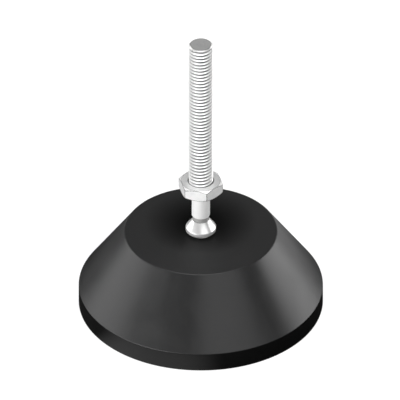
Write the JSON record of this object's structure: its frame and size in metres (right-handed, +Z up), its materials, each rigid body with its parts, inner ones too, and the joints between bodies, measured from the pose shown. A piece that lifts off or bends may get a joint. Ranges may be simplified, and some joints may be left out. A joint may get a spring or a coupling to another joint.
{
  "type": "levelling foot",
  "caption": "Swivel levelling foot: a conical moulded foot plate with a threaded ball stud held in its centre and a thin hexagon lock nut on the thread.",
  "frame": {"origin": "centre of the foot plate's underside, on the floor", "axes": "+Z up along the stud; +X square to one pair of the lock nut's flats and along one rib of the underside"},
  "size_m": [0.08, 0.08, 0.1025],
  "materials": {
    "moulded_nylon": "black glass-filled nylon, moulded, satin",
    "plated_steel": "turned steel, bright zinc plated",
    "nut_steel": "pressed steel, bright zinc plated"
  },
  "bodies": {
    "foot": {"foot_plate": "moulded_nylon"},
    "stud": {"ball_stud": "plated_steel"},
    "nut": {"lock_nut": "nut_steel"}
  },
  "joints": [
    {"name": "ball_swivel", "type": "hinge", "parent": "foot", "child": "stud", "pos_m": [0, 0, 0.02486], "axis": [0, 1, 0], "range_deg": [-6, 6]},
    {"name": "nut_travel", "type": "slide", "parent": "stud", "child": "nut", "axis": [0, 0, 1], "range_m": [0, 0.0525]}
  ]
}
